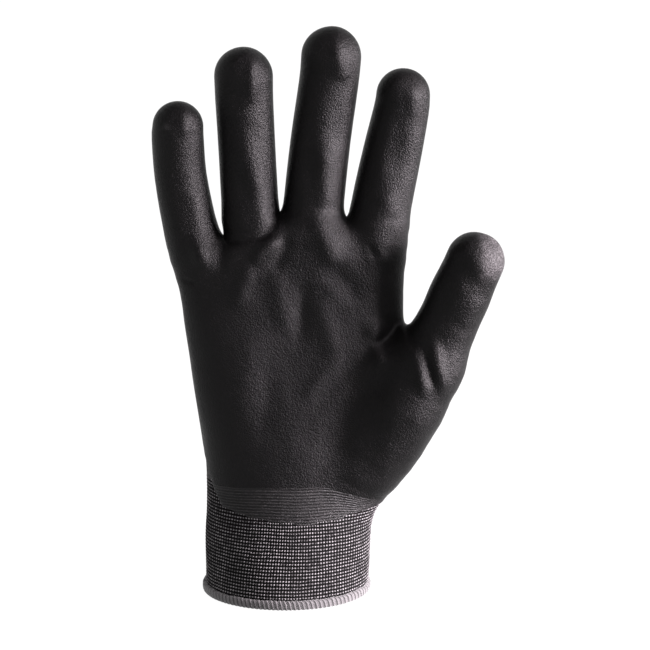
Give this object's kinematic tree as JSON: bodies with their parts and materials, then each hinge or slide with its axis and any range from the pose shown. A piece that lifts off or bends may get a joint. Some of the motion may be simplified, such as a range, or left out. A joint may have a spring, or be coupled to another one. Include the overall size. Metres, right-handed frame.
{
  "type": "cut resistant glove",
  "caption": "Seamless knitted cut-resistant work glove for the right hand, palm dipped in black foam nitrile, with rib-knit cuff, overlocked hem and folding stalls.",
  "frame": {"origin": "centre of the wrist opening, in the plane of the hem's foot, on which the glove stands", "axes": "+Z from the hem to the fingertips, -Y out of the palm side, +Y out of the back of the hand, +X towards the thumb"},
  "size_m": [0.1465, 0.0632, 0.2445],
  "materials": {
    "knit": "plain and rib knitted yarn, matt, black with grey marl flecks",
    "foam_nitrile": "micro-foam nitrile film, fine sandy texture, soft sheen",
    "overlock_thread": "textured overlock thread, matt mid grey",
    "elastic_yarn": "covered elastic yarn, matt off-white"
  },
  "bodies": {
    "hand": {"liner_palm": "knit", "coating_palm": "foam_nitrile", "cuff_rib_knit": "knit", "cuff_elastic_yarn": "elastic_yarn", "hem_overlock": "overlock_thread"},
    "little_base": {"liner_little_base": "knit", "coating_little_base": "foam_nitrile"},
    "little_middle": {"liner_little_middle": "knit", "coating_little_middle": "foam_nitrile"},
    "little_tip": {"liner_little_tip": "knit", "coating_little_tip": "foam_nitrile"},
    "ring_base": {"liner_ring_base": "knit", "coating_ring_base": "foam_nitrile"},
    "ring_middle": {"liner_ring_middle": "knit", "coating_ring_middle": "foam_nitrile"},
    "ring_tip": {"liner_ring_tip": "knit", "coating_ring_tip": "foam_nitrile"},
    "middle_base": {"liner_middle_base": "knit", "coating_middle_base": "foam_nitrile"},
    "middle_middle": {"liner_middle_middle": "knit", "coating_middle_middle": "foam_nitrile"},
    "middle_tip": {"liner_middle_tip": "knit", "coating_middle_tip": "foam_nitrile"},
    "index_base": {"liner_index_base": "knit", "coating_index_base": "foam_nitrile"},
    "index_middle": {"liner_index_middle": "knit", "coating_index_middle": "foam_nitrile"},
    "index_tip": {"liner_index_tip": "knit", "coating_index_tip": "foam_nitrile"},
    "thumb_base": {"liner_thumb_base": "knit", "coating_thumb_base": "foam_nitrile"},
    "thumb_tip": {"liner_thumb_tip": "knit", "coating_thumb_tip": "foam_nitrile"}
  },
  "joints": [
    {"name": "little_knuckle_fold", "type": "hinge", "parent": "hand", "child": "little_base", "pos_m": [-0.04117, -0.00347, 0.16279], "axis": [0.9903, 0, 0.1392], "range_deg": [0, 60], "stiffness_Nm_per_rad": 0.02},
    {"name": "little_middle_fold", "type": "hinge", "parent": "little_base", "child": "little_middle", "pos_m": [-0.04413, -0.00429, 0.18126], "axis": [0.9962, 0, 0.0872], "range_deg": [0, 80], "stiffness_Nm_per_rad": 0.014},
    {"name": "little_end_fold", "type": "hinge", "parent": "little_middle", "child": "little_tip", "pos_m": [-0.04496, -0.00614, 0.19679], "axis": [0.9986, 0, 0.0523], "range_deg": [0, 48], "stiffness_Nm_per_rad": 0.01},
    {"name": "ring_knuckle_fold", "type": "hinge", "parent": "hand", "child": "ring_base", "pos_m": [-0.01549, -0.00413, 0.17227], "axis": [0.9986, 0, 0.0523], "range_deg": [0, 60], "stiffness_Nm_per_rad": 0.02},
    {"name": "ring_middle_fold", "type": "hinge", "parent": "ring_base", "child": "ring_middle", "pos_m": [-0.01666, -0.00524, 0.1944], "axis": [0.9994, 0, 0.0349], "range_deg": [0, 80], "stiffness_Nm_per_rad": 0.014},
    {"name": "ring_end_fold", "type": "hinge", "parent": "ring_middle", "child": "ring_tip", "pos_m": [-0.01756, -0.00766, 0.21385], "axis": [0.9998, 0, 0.0174], "range_deg": [0, 48], "stiffness_Nm_per_rad": 0.01},
    {"name": "middle_knuckle_fold", "type": "hinge", "parent": "hand", "child": "middle_base", "pos_m": [0.01218, -0.00433, 0.17226], "axis": [0.9976, 0, -0.0698], "range_deg": [0, 60], "stiffness_Nm_per_rad": 0.02},
    {"name": "middle_middle_fold", "type": "hinge", "parent": "middle_base", "child": "middle_middle", "pos_m": [0.015, -0.00548, 0.19726], "axis": [0.9976, 0, -0.0698], "range_deg": [0, 80], "stiffness_Nm_per_rad": 0.014},
    {"name": "middle_end_fold", "type": "hinge", "parent": "middle_middle", "child": "middle_tip", "pos_m": [0.01808, -0.0082, 0.22001], "axis": [0.9986, 0, -0.0523], "range_deg": [0, 48], "stiffness_Nm_per_rad": 0.01},
    {"name": "index_knuckle_fold", "type": "hinge", "parent": "hand", "child": "index_base", "pos_m": [0.04096, -0.00415, 0.16975], "axis": [0.9848, 0, -0.1736], "range_deg": [0, 60], "stiffness_Nm_per_rad": 0.02},
    {"name": "index_middle_fold", "type": "hinge", "parent": "index_base", "child": "index_middle", "pos_m": [0.04518, -0.00512, 0.191], "axis": [0.9877, 0, -0.1564], "range_deg": [0, 80], "stiffness_Nm_per_rad": 0.014},
    {"name": "index_end_fold", "type": "hinge", "parent": "index_middle", "child": "index_tip", "pos_m": [0.04885, -0.00707, 0.20864], "axis": [0.9925, 0, -0.1219], "range_deg": [0, 48], "stiffness_Nm_per_rad": 0.01},
    {"name": "thumb_knuckle_fold", "type": "hinge", "parent": "hand", "child": "thumb_base", "pos_m": [0.06434, -0.01597, 0.11826], "axis": [0.7184, -0.561, -0.4112], "range_deg": [0, 35], "stiffness_Nm_per_rad": 0.025},
    {"name": "thumb_end_fold", "type": "hinge", "parent": "thumb_base", "child": "thumb_tip", "pos_m": [0.07205, -0.02025, 0.13752], "axis": [0.7119, -0.5514, -0.435], "range_deg": [0, 55], "stiffness_Nm_per_rad": 0.016}
  ],
  "couplings": [
    {"joint": "little_end_fold", "follows": "little_middle_fold", "ratio": 0.6},
    {"joint": "ring_end_fold", "follows": "ring_middle_fold", "ratio": 0.6},
    {"joint": "middle_end_fold", "follows": "middle_middle_fold", "ratio": 0.6},
    {"joint": "index_end_fold", "follows": "index_middle_fold", "ratio": 0.6}
  ]
}
